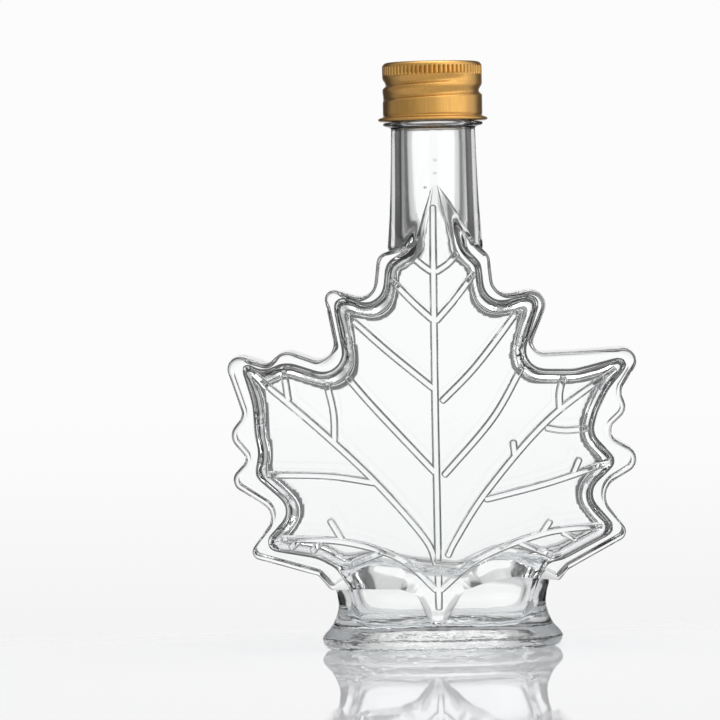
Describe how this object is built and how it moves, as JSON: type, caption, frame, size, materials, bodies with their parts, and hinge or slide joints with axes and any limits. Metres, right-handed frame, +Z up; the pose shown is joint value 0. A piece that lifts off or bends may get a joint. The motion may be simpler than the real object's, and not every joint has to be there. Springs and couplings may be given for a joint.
{
  "type": "leaf-shaped syrup bottle",
  "caption": "Flat clear glass bottle shaped like a maple leaf with raised veins on its front, on an oval foot, with a gold screw cap.",
  "frame": {"origin": "on the floor under the middle of the whole, so halfway between the leaf's outermost points; the neck's axis is 1.4 mm to the +X side of it", "axes": "+Z up, from the foot to the cap; +X to the leaf's right as seen from the front; -Y out of the front face with the veins"},
  "size_m": [0.1014, 0.0294, 0.146],
  "materials": {
    "bottle": "clear, glossy",
    "cap": "satin gold anodised"
  },
  "bodies": {
    "root": {"bottle": "bottle", "cap": "cap"}
  },
  "joints": []
}
